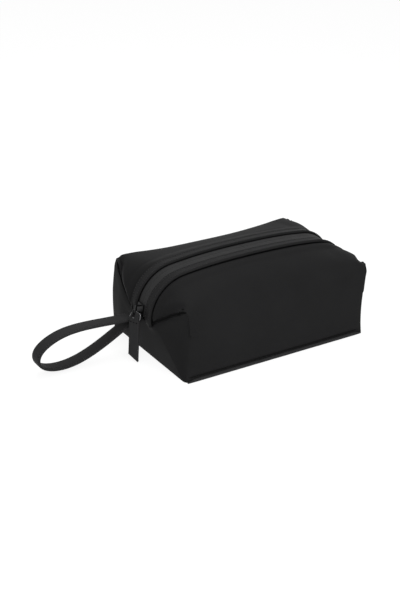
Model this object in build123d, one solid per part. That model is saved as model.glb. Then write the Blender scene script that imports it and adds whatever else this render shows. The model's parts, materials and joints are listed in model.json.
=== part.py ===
"""Shaving kit bag: a soft box of smooth leather with four pointed top corners, a zip that runs over
the top and down both ends, a pull tab on its slider and a looped wrist strap at the left end.

Millimetres. The origin is the middle of the face that the bag rests on: +X runs along the bag to the
end without a strap, +Y to the rear and +Z up.
"""

import math
import os

from build123d import *

# ---- the bag's overall size ----
BAG_LENGTH = 235.0  # corner to corner along X
BAG_DEPTH = 150.0  # front leather face to rear leather face
CORNER_HEIGHT = 88.0  # top edges and top corners above the floor
DOME_RISE = 4.5  # how far the top swells between the shoulders

# ---- leather, board and lining ----
LEATHER = 3.0  # padded leather wall
BASE_LEATHER = 2.0
BOARD = 2.0  # stiffening board under the lining
LINING = 1.0
LINING_END_DROP = 18.0  # the end linings stop this far under the corners, clear of the zip's run
WELT_RADIUS = 1.5  # rolled edge along the foot of the front and rear

# ---- shoulders: the zip goes round them on an arc ----
SHOULDER_INSET = 34.5  # arc centres in from the corners
SHOULDER_DROP = 35.5  # arc centres below the corners
SHOULDER_RADIUS = 45.0  # outer face of the leather and the tape
ZIP_END_ANGLE = 10.4  # how far below level the zip's arc runs, degrees

# ---- zip ----
TAPE = 0.8
COIL = 2.2  # height of the coil under the tape
COIL_WIDTH = 2.8  # each half
TAPE_HALF = 18.0  # from the middle of the zip to the tape's hidden edge
SEAM_HALF_GAP = 0.2  # half of the closed zip's middle gap
STRIP = 2.0  # folded leather strip that borders the zip
STRIP_INNER = 8.0  # its edge beside the zip
STRIP_OUTER = 21.0
STOP_START = 6.5  # zip stop, degrees below level
STOP_SWEEP = 2.5

# ---- zip slider, in the arc's polar coordinates ----
SLIDER_ANGLE = 6.0  # rest place above level, degrees
SLIDER_LENGTH = 12.0
SLIDER_HALF_WIDTH = 5.4
PLATE = 1.4
FLANGE = 0.8
POST_HALF = 1.0
POST_LENGTH = 2.5
SLIDER_CLEARANCE = 0.4
BRIDGE_HALF = 1.2
BRIDGE_LEG = 1.2
BRIDGE_SPAN = 7.5  # opening along the zip
BRIDGE_RISE = 5.3  # opening above the top plate
BRIDGE_TOP = 1.1

# ---- pull ring and tab ----
WIRE = 1.4  # ring wire diameter
RING_DROP = 7.0  # upper bar to lower bar
RING_PLAY = 0.2  # each side of the tab
TAB_WIDTH = 12.0
RING_TO_STRAP = 0.6  # the strap crowds the ring to the front
TAB_LAYER = 1.6
TAB_ABOVE_BAR = 2.3
TAB_FOOT = 3.0  # height of the tab's lower end
TAB_CORNER = 3.0
WIRE_FIT = 0.05

# ---- wrist strap ----
STRAP_WIDTH = 15.0
STRAP_FRONT_Y = 7.0
STRAP_LAYER = 1.5
STRAP_STANDOFF = 6.74  # it flexes this far out from the zip's end
STRAP_BELOW_ZIP = 3.38  # and this far under it
STRAP_REACH = 89.0  # hinge to the middle of the loop's round end
STRAP_LOOP_RADIUS = 20.5
STRAP_LOOP_FOOT = 7.4  # the loop's lowest point above the floor
STRAP_GAP = 0.4  # sewn root to the part that flexes

# ---- flaps that open once the zip is undone ----
FOLD_GAP = 0.3  # flap to wall at the fold
FLAP_GAP = 0.3  # flap to the fixed ends

# ---- worked out ----
half_length = BAG_LENGTH / 2
half_depth = BAG_DEPTH / 2
wall_top = CORNER_HEIGHT - LEATHER
shoulder_x = half_length - SHOULDER_INSET
shoulder_z = CORNER_HEIGHT - SHOULDER_DROP
strip_radius = SHOULDER_RADIUS + STRIP
tape_radius = SHOULDER_RADIUS - TAPE
coil_radius = tape_radius - COIL
arc_low = 180 + ZIP_END_ANGLE
arc_high = 90.0
shoulder_top = shoulder_z + SHOULDER_RADIUS
flap_half = shoulder_x - FLAP_GAP
slot_half = POST_HALF + SLIDER_CLEARANCE
plate_low = SHOULDER_RADIUS + SLIDER_CLEARANCE
plate_high = plate_low + PLATE
keel_high = coil_radius - SLIDER_CLEARANCE
keel_low = keel_high - PLATE
slider_at = 180 - SLIDER_ANGLE
bridge_open = plate_high + BRIDGE_RISE
bar_radius = bridge_open - SLIDER_CLEARANCE - WIRE / 2
tab_centre_y = STRAP_FRONT_Y - RING_TO_STRAP - WIRE - RING_PLAY - TAB_WIDTH / 2
zip_tip_x = -shoulder_x + SHOULDER_RADIUS * math.cos(math.radians(arc_low))
zip_tip_z = shoulder_z + SHOULDER_RADIUS * math.sin(math.radians(arc_low))
strap_hinge_x = zip_tip_x - STRAP_STANDOFF
strap_hinge_z = zip_tip_z - STRAP_BELOW_ZIP

pieces = {}


def polar(radius, angle, y):
    """A point on the left shoulder's arc: angle in degrees, 180 is level and outward, 90 is the top."""
    a = math.radians(angle)
    return Vector(-shoulder_x + radius * math.cos(a), y, shoulder_z + radius * math.sin(a))


def line(a, b):
    return Edge.make_line(a, b)


def arc(a, b, c):
    return Edge.make_three_point_arc(a, b, c)


def along_y(edges, width):
    return extrude(Face(Wire(edges)), amount=width, dir=(0, 1, 0))


def sector_edges(inner, outer, start, end, y):
    middle = (start + end) / 2
    return [
        arc(polar(outer, start, y), polar(outer, middle, y), polar(outer, end, y)),
        line(polar(outer, end, y), polar(inner, end, y)),
        arc(polar(inner, end, y), polar(inner, middle, y), polar(inner, start, y)),
        line(polar(inner, start, y), polar(outer, start, y)),
    ]


def sector(inner, outer, start, end, y0, y1):
    """A block that bends round the left shoulder, between two radii, two angles and two Y values."""
    return along_y(sector_edges(inner, outer, start, end, y0), y1 - y0)


def dome_edges(low, high, y):
    """Cross section of a layer over the top, between two heights above the shoulder's top."""
    base = shoulder_top
    left, right, crown = -flap_half, flap_half, base + DOME_RISE
    return [
        arc(Vector(left, y, base + high), Vector(0, y, crown + high), Vector(right, y, base + high)),
        line(Vector(right, y, base + high), Vector(right, y, base + low)),
        arc(Vector(right, y, base + low), Vector(0, y, crown + low), Vector(left, y, base + low)),
        line(Vector(left, y, base + low), Vector(left, y, base + high)),
    ]


def polygon(points):
    return [line(Vector(*a), Vector(*b)) for a, b in zip(points, points[1:] + points[:1])]


def slab(x0, x1, y0, y1, z0, z1):
    centre = ((x0 + x1) / 2, (y0 + y1) / 2, (z0 + z1) / 2)
    return Pos(*centre) * Box(x1 - x0, y1 - y0, z1 - z0)


def to_rear(shape):
    return mirror(shape, about=Plane.XZ)


def to_right(shape):
    return mirror(shape, about=Plane.YZ)


def base_and_walls():
    inside = half_length - LEATHER
    across = half_depth - LEATHER
    board_low = BASE_LEATHER
    lining_low = BASE_LEATHER + BOARD
    pieces["base_panel"] = slab(-inside, inside, -across, across, 0, BASE_LEATHER)
    pieces["base_board"] = slab(-inside, inside, -across, across, board_low, lining_low)
    pieces["base_lining"] = slab(-inside, inside, -across, across, lining_low, lining_low + LINING)
    front = slab(-half_length, half_length, -half_depth, -across, 0, wall_top)
    pieces["front_panel"] = front
    pieces["rear_panel"] = to_rear(front)
    floor = lining_low + LINING
    lining = slab(-inside, inside, -across, -across + LINING, floor, wall_top - LEATHER)
    pieces["front_lining"] = lining
    pieces["rear_lining"] = to_rear(lining)
    end_top = CORNER_HEIGHT - LINING_END_DROP
    side = slab(-inside, -inside + LINING, -across + LINING, across - LINING, floor, end_top)
    pieces["left_end_lining"] = side
    pieces["right_end_lining"] = to_right(side)
    rod = Cylinder(WELT_RADIUS, BAG_LENGTH, rotation=(0, 90, 0))
    welt = Pos(0, -half_depth - WELT_RADIUS, WELT_RADIUS) * rod
    pieces["front_base_welt"] = welt
    pieces["rear_base_welt"] = to_rear(welt)


def end_panels():
    """Each end below the zip: a middle gusset that leans out to the zip's end, and an ear each side."""
    tip = polar(SHOULDER_RADIUS, arc_low, 0)
    across = half_depth - LEATHER
    foot = -half_length
    inward = (1, 0, 0)
    middle = [
        (tip.X, -STRIP_OUTER, tip.Z),
        (tip.X, STRIP_OUTER, tip.Z),
        (foot, across, 0),
        (foot, -across, 0),
    ]
    gusset = extrude(Face(Wire(polygon(middle))), amount=LEATHER, dir=inward)
    ear_top = wall_top - LEATHER
    ear_points = [(tip.X, -STRIP_OUTER, tip.Z), (foot, -across, 0), (foot, -across, ear_top)]
    ear = extrude(Face(Wire(polygon(ear_points))), amount=LEATHER, dir=inward)
    panel = gusset + ear + to_rear(ear)
    pieces["left_end_panel"] = panel
    pieces["right_end_panel"] = to_right(panel)


def aprons():
    """The top leather's fixed ends, which come down over the bag's ends to the zip's end."""
    near = sector_edges(SHOULDER_RADIUS - LEATHER, SHOULDER_RADIUS, arc_low, arc_high, -TAPE_HALF)
    y = LEATHER - half_depth
    corner = [
        (-half_length, y, CORNER_HEIGHT),
        (-shoulder_x, y, CORNER_HEIGHT),
        (-shoulder_x, y, wall_top),
        (-half_length + LEATHER, y, wall_top),
    ]
    apron = Solid.make_loft([Wire(near), Wire(polygon(corner))], ruled=True)
    apron += extrude(Face(Wire(polygon(corner))), amount=LEATHER, dir=(0, -1, 0))
    pieces["left_front_apron"] = apron
    pieces["left_rear_apron"] = to_rear(apron)
    pieces["right_front_apron"] = to_right(apron)
    pieces["right_rear_apron"] = to_right(to_rear(apron))


def zip_ends():
    """Strips, tapes, coil and stops on the two shoulders."""
    strip = sector(SHOULDER_RADIUS, strip_radius, arc_low, arc_high, -STRIP_OUTER, -STRIP_INNER)
    pieces["left_front_strip"] = strip
    pieces["left_rear_strip"] = to_rear(strip)
    pieces["right_front_strip"] = to_right(strip)
    pieces["right_rear_strip"] = to_right(to_rear(strip))
    tape = sector(tape_radius, SHOULDER_RADIUS, arc_low, arc_high, -TAPE_HALF, -slot_half)
    pieces["left_front_tape"] = tape
    pieces["left_rear_tape"] = to_rear(tape)
    pieces["right_front_tape"] = to_right(tape)
    pieces["right_rear_tape"] = to_right(to_rear(tape))
    edge = slot_half + COIL_WIDTH
    coil = sector(coil_radius, tape_radius, arc_low, arc_high, -edge, -slot_half)
    stop_start = 180 + STOP_START
    stop = sector(tape_radius, SHOULDER_RADIUS, stop_start, stop_start + STOP_SWEEP, -slot_half, slot_half)
    for side, place in (("left", lambda s: s), ("right", to_right)):
        pieces[side + "_front_coil"] = place(coil)
        pieces[side + "_rear_coil"] = place(to_rear(coil))
        pieces[side + "_zip_stop"] = place(stop)


def flaps():
    """The top's two halves between the shoulders, with their strip, tape and coil."""
    inner = -TAPE_HALF
    fold = wall_top + FOLD_GAP
    y = -half_depth
    edge = [
        (-flap_half, y, CORNER_HEIGHT),
        (flap_half, y, CORNER_HEIGHT),
        (flap_half, y, fold),
        (-flap_half, y, fold),
    ]
    panel = Solid.make_loft([Wire(dome_edges(-LEATHER, 0, inner)), Wire(polygon(edge))], ruled=True)
    strip = along_y(dome_edges(0, STRIP, -STRIP_OUTER), STRIP_OUTER - STRIP_INNER)
    tape = along_y(dome_edges(-TAPE, 0, inner), TAPE_HALF - SEAM_HALF_GAP)
    coil = along_y(dome_edges(-TAPE - COIL, -TAPE, -SEAM_HALF_GAP - COIL_WIDTH), COIL_WIDTH)
    for side, place in (("front", lambda s: s), ("rear", to_rear)):
        pieces[side + "_flap_panel"] = place(panel)
        pieces[side + "_flap_strip"] = place(strip)
        pieces[side + "_flap_tape"] = place(tape)
        pieces[side + "_flap_coil"] = place(coil)


def slider():
    """Two plates that hold the coil between them, the post that parts it, and the pull's bridge."""
    half = math.degrees(SLIDER_LENGTH / 2 / SHOULDER_RADIUS)
    start, end = slider_at - half, slider_at + half
    width = SLIDER_HALF_WIDTH
    coil_edge = slot_half + COIL_WIDTH + SLIDER_CLEARANCE
    post_sweep = math.degrees(POST_LENGTH / SHOULDER_RADIUS)
    body = sector(plate_low, plate_high, start, end, -width, width)
    body += sector(keel_low, keel_high, start, end, -width, width)
    body += sector(keel_high, plate_low, end - post_sweep, end, -POST_HALF, POST_HALF)
    flange_top = tape_radius - SLIDER_CLEARANCE
    flange = sector(keel_high, flange_top, start, end, -coil_edge - FLANGE, -coil_edge)
    body += flange
    body += to_rear(flange)
    pieces["slider_body"] = body
    span = math.degrees(BRIDGE_SPAN / 2 / bar_radius)
    leg = math.degrees(BRIDGE_LEG / bar_radius)
    start, end = slider_at - span - leg, slider_at + span + leg
    bridge = sector(plate_high, bridge_open + BRIDGE_TOP, start, end, -BRIDGE_HALF, BRIDGE_HALF)
    hole = sector(plate_high, bridge_open, slider_at - span, slider_at + span, -BRIDGE_HALF, BRIDGE_HALF)
    pieces["slider_bridge"] = bridge - hole


def pull():
    """The ring through the bridge, and the tab's two leather layers sewn round its lower bar."""
    reach = math.degrees((WIRE / 2 + SLIDER_CLEARANCE) / bar_radius)
    pivot = polar(bar_radius, slider_at + math.degrees(BRIDGE_SPAN / 2 / bar_radius) - reach, 0)
    radius = WIRE / 2
    side = TAB_WIDTH / 2 + RING_PLAY + radius
    low = pivot.Z - RING_DROP
    along = Rot(90, 0, 0)
    ring = Pos(pivot.X, tab_centre_y, pivot.Z) * along * Cylinder(radius, 2 * side + WIRE)
    ring += Pos(pivot.X, tab_centre_y, low) * along * Cylinder(radius, 2 * side + WIRE)
    for sign in (-1, 1):
        bar = Cylinder(radius, RING_DROP + WIRE)
        ring += Pos(pivot.X, tab_centre_y + sign * side, (pivot.Z + low) / 2) * bar
    pieces["pull_ring"] = ring
    top = low + TAB_ABOVE_BAR
    half = TAB_WIDTH / 2
    hole = Pos(pivot.X, tab_centre_y, low) * along * Cylinder(radius + WIRE_FIT, 2 * TAB_WIDTH)
    for name, x0, x1 in (
        ("pull_tab_outer", pivot.X - TAB_LAYER, pivot.X),
        ("pull_tab_inner", pivot.X, pivot.X + TAB_LAYER),
    ):
        tab = slab(x0, x1, tab_centre_y - half, tab_centre_y + half, TAB_FOOT, top)
        foot = tab.edges().filter_by(Axis.X).group_by(Axis.Z)[0]
        pieces[name] = fillet(foot, TAB_CORNER) - hole


def belt(small, large, y):
    """Outline of a strap round two circles: small at the root, large at the loop's round end."""
    root = Vector(strap_hinge_x, y, strap_hinge_z)
    droop = math.asin((strap_hinge_z - STRAP_LOOP_RADIUS - STRAP_LOOP_FOOT) / STRAP_REACH)
    lean = math.pi + droop
    along = Vector(math.cos(lean), 0, math.sin(lean))
    far = root + along * STRAP_REACH
    spread = math.acos((small - large) / STRAP_REACH)
    up = Vector(math.cos(lean - spread), 0, math.sin(lean - spread))
    down = Vector(math.cos(lean + spread), 0, math.sin(lean + spread))
    edges = [line(root + up * small, far + up * large)]
    edges.append(arc(far + up * large, far + along * large, far + down * large))
    edges.append(line(far + down * large, root + down * small))
    if small > 0:
        edges.append(arc(root + down * small, root - along * small, root + up * small))
    return Face(Wire(edges))


def wrist_strap():
    layers = []
    for number in range(3):
        inset = number * STRAP_LAYER
        outline = belt(2 * STRAP_LAYER - inset, STRAP_LOOP_RADIUS - inset, STRAP_FRONT_Y)
        layers.append(extrude(outline, amount=STRAP_WIDTH, dir=(0, 1, 0)))
    pieces["strap_outer_layer"] = layers[0] - layers[1]
    pieces["strap_inner_layer"] = layers[1] - layers[2]
    root = 2 * STRAP_LAYER
    tip = polar(SHOULDER_RADIUS, arc_low, 0)
    stub = slab(
        strap_hinge_x + root + STRAP_GAP,
        tip.X + LEATHER / 2,
        STRAP_FRONT_Y,
        STRAP_FRONT_Y + STRAP_WIDTH,
        strap_hinge_z - root,
        strap_hinge_z + root / 2,
    )
    pieces["strap_root"] = stub - pieces["left_end_panel"]


base_and_walls()
end_panels()
aprons()
zip_ends()
flaps()
slider()
pull()
wrist_strap()

os.makedirs("parts", exist_ok=True)
for name, shape in pieces.items():
    export_step(shape, f"parts/{name}.step")
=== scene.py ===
"""Looks of a soft leather shaving kit bag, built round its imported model.

Metres. +X runs along the bag, away from the end with the slider and the strap, +Y to the rear and +Z up.
"""

import json
import math

import bmesh
import bpy
import numpy as np
from mathutils import Matrix, Vector, noise


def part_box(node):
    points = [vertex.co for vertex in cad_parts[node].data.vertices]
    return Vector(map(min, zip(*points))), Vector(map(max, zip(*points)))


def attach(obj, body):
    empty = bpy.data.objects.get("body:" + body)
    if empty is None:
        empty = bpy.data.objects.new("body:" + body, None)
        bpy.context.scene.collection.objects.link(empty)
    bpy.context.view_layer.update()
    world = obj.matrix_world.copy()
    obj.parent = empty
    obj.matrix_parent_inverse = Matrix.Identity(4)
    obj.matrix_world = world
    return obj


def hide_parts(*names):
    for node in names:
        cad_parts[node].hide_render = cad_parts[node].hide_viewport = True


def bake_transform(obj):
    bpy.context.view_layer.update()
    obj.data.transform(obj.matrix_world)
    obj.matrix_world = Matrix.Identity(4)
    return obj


bl_info = {
    "name": "Shaving kit bag",
    "version": (1, 0, 0),
    "blender": (4, 5, 0),
    "location": "View3D > Sidebar > Kit bag",
    "description": "Builds a leather shaving kit bag with a zip, a pull tab and a wrist strap",
    "category": "Add Mesh",
}

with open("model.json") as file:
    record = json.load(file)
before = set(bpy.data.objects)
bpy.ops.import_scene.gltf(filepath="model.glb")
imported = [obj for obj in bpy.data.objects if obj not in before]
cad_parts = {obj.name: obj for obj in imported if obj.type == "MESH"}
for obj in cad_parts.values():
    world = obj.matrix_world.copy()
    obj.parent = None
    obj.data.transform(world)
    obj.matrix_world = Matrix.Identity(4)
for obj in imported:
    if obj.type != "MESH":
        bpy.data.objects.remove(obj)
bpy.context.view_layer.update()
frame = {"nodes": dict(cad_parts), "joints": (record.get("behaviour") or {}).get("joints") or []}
MM = 0.001


def joint(name):
    return next(j for j in frame["joints"] if j["name"] == name)


LEATHER_WALL = 3 * MM

# ---- the frame's own places ----
SHOULDER = Vector(joint("slider_travel")["pos_m"])
PIVOT = Vector(joint("pull_swing")["pos_m"])
HALF_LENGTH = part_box("front_panel")[1].x
HALF_DEPTH = -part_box("front_panel")[0].y
FOLD_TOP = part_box("front_panel")[1].z + LEATHER_WALL
SKIN_RADIUS = SHOULDER.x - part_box("left_front_apron")[0].x
STRIP_RADIUS = SHOULDER.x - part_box("left_front_strip")[0].x
STRIP_OUT = -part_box("left_front_strip")[0].y
STRIP_IN = -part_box("left_front_strip")[1].y
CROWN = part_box("front_flap_tape")[1].z
TIP_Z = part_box("left_front_tape")[0].z
TIP_ANGLE = math.asin((SHOULDER.z - TIP_Z) / SKIN_RADIUS)

# ---- how the leather bends where the top opens ----
MIDDLE = 42 * MM  # half length of the leather that turns over the fold
FOLD_LOW = 60 * MM  # height of that leather's lower edge on the wall


# ------------------------------------------------------------------ shader and mesh helpers


class Value:
    """A shader socket that Python's arithmetic works on."""

    def __init__(self, net, socket):
        self.net = net
        self.socket = socket

    def _math(self, operation, first, second):
        made = self.net.node("ShaderNodeMath", {"operation": operation}, {0: first, 1: second})
        return made.out(0)

    def __add__(self, other):
        return self._math("ADD", self, other)

    def __sub__(self, other):
        return self._math("SUBTRACT", self, other)

    def __rsub__(self, other):
        return self._math("SUBTRACT", other, self)

    def __mul__(self, other):
        return self._math("MULTIPLY", self, other)

    __radd__ = __add__
    __rmul__ = __mul__


class Made:
    """A node that was just made."""

    def __init__(self, net, node):
        self.net = net
        self.node = node

    def out(self, which):
        return Value(self.net, self.node.outputs[which])


class Net:
    """A material's nodes, emptied and ready to fill."""

    def __init__(self, name):
        self.material = bpy.data.materials.new(name)
        self.material.use_nodes = True
        self.tree = self.material.node_tree
        self.tree.nodes.clear()

    def node(self, kind, settings=None, sockets=None):
        made = self.tree.nodes.new(kind)
        for key, value in (settings or {}).items():
            setattr(made, key, value)
        for key, value in (sockets or {}).items():
            if isinstance(value, Value):
                self.tree.links.new(value.socket, made.inputs[key])
            else:
                made.inputs[key].default_value = value
        return Made(self, made)

    def mix(self, factor, first, second):
        settings = {"data_type": "RGBA"}
        sockets = {0: factor, 6: (*first, 1), 7: (*second, 1)}
        return self.node("ShaderNodeMix", settings, sockets).out(2)

    def finish(self, shader):
        self.node("ShaderNodeOutputMaterial", {}, {"Surface": shader})
        return self.material


def left_front(points):
    """Points moved to the left front quarter, where the rules for the leather are written."""
    return np.abs(points) * (-1, -1, 1)


def smooth(values):
    """Smoothstep of an array, clipped to 0 and 1."""
    t = np.clip(values, 0, 1)
    return t * t * (3 - 2 * t)


def ease(value):
    """Smoothstep of one number."""
    return float(smooth(value))


def bell(gap, width):
    """1 where the gap is 0, falling to nearly 0 two widths away."""
    return np.exp(-((gap / width) ** 2))


def circle(count):
    """Cosine and sine of evenly spaced turns, for round sections."""
    turns = [2 * math.pi * i / count for i in range(count)]
    return [(math.cos(a), math.sin(a)) for a in turns]


def run_along(line):
    """Distance along a polyline to each of its points."""
    return np.concatenate([[0], np.cumsum(np.linalg.norm(np.diff(line, axis=0), axis=1))])


def resample(line, steps):
    """Evenly spaced points along a polyline, and its length."""
    run = run_along(line)
    at = np.linspace(0, run[-1], steps)
    return np.column_stack([np.interp(at, run, line[:, k]) for k in range(line.shape[1])]), run[-1]


def new_object(name, verts, faces, materials, face_material=None, normals=None):
    """A mesh object at the origin. normals, where given, holds one vector for each face corner."""
    mesh = bpy.data.meshes.new(name)
    mesh.from_pydata([tuple(v) for v in verts], [], [tuple(int(i) for i in f) for f in faces])
    for material in materials:
        mesh.materials.append(material)
    mesh.polygons.foreach_set("use_smooth", [True] * len(mesh.polygons))
    if face_material is not None:
        mesh.polygons.foreach_set("material_index", face_material)
    mesh.update()
    if normals is not None:
        mesh.normals_split_custom_set([tuple(n) for n in normals])
    obj = bpy.data.objects.new(name, mesh)
    bpy.context.scene.collection.objects.link(obj)
    return obj


def tube(name, rings, material, loop=False):
    """A solid swept through rings, an array of stations by points by three. Ends are capped."""
    stations, count = rings.shape[:2]
    faces = []
    for s in range(stations if loop else stations - 1):
        here, there = s * count, (s + 1) % stations * count
        for i in range(count):
            j = (i + 1) % count
            faces.append((here + i, here + j, there + j, there + i))
    if not loop:
        faces.append(tuple(range(count))[::-1])
        faces.append(tuple((stations - 1) * count + i for i in range(count)))
    obj = new_object(name, rings.reshape(-1, 3), faces, [material])
    face_outwards(obj)
    return obj


def face_outwards(obj):
    """Turns a closed mesh's faces outwards."""
    work = bmesh.new()
    work.from_mesh(obj.data)
    bmesh.ops.recalc_face_normals(work, faces=work.faces)
    work.to_mesh(obj.data)
    work.free()


def thicken(obj, wall):
    """Gives a sheet its wall, on the inner side."""
    modifier = obj.modifiers.new("wall", "SOLIDIFY")
    modifier.thickness = wall
    modifier.offset = -1


def paint(node, material):
    """Puts one material on a CAD node."""
    mesh = frame["nodes"][node].data
    mesh.materials.clear()
    mesh.materials.append(MATERIALS[material])


def mirrored(points, side, depth):
    """Points of the left front quarter, moved to another quarter: side and depth are 1 or -1."""
    return np.asarray(points) * np.array([side, depth, 1.0])


def bend_with_flap(obj):
    """Bakes a piece's placing into its mesh; the piece is not bent."""
    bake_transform(obj)


QUARTERS = [(side, depth) for side in (1, -1) for depth in (1, -1)]


def quarter_name(side, depth):
    return ("left" if side > 0 else "right") + ("_front" if depth > 0 else "_rear")


def flap_name(depth):
    return "front_flap" if depth > 0 else "rear_flap"


# ------------------------------------------------------------------ the line of the zip

ARC_TOP = math.radians(98)  # where the arc of the shoulder gives way to the dome
ARC_BOTTOM = math.pi + TIP_ANGLE
ARC_LENGTH = SKIN_RADIUS * (ARC_BOTTOM - ARC_TOP)
DOME_EDGE = SHOULDER.x + SKIN_RADIUS * math.cos(ARC_TOP)
DOME_LOW = SHOULDER.z + SKIN_RADIUS * math.sin(ARC_TOP)
DOME_SLOPE = -1 / math.tan(ARC_TOP)
ZIP_LENGTH = -DOME_EDGE + ARC_LENGTH


def dome(x):
    """Height and slope of the zip's line over the top, as a cubic from the shoulder to the crown."""
    width = -DOME_EDGE
    t = (x - DOME_EDGE) / width
    low, high, slope = DOME_LOW, CROWN, DOME_SLOPE
    height = (2 * t**3 - 3 * t**2 + 1) * low + (t**3 - 2 * t**2 + t) * width * slope
    height += (3 * t**2 - 2 * t**3) * high
    rise = (6 * t**2 - 6 * t) * low / width + (3 * t**2 - 4 * t + 1) * slope
    rise += (6 * t - 6 * t**2) * high / width
    return height, rise


def zip_line(share):
    """Place and outward direction on the leather, from the crown (0) to the left tip (1)."""
    run = share * ZIP_LENGTH
    if run <= -DOME_EDGE:
        height, rise = dome(-run)
        out = Vector((-rise, 0, 1)).normalized()
        return Vector((-run, 0, height)), out
    angle = ARC_TOP + (run + DOME_EDGE) / SKIN_RADIUS
    out = Vector((math.cos(angle), 0, math.sin(angle)))
    return SHOULDER + out * SKIN_RADIUS, out


def along_zip(section, shares):
    """Rings for tube(): section is a list of (y, height over the leather)."""
    rings = []
    for share in shares:
        place, out = zip_line(share)
        rings.append([(place.x + out.x * h, y, place.z + out.z * h) for y, h in section])
    return np.array(rings)


# ------------------------------------------------------------------ the leather shell


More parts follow.
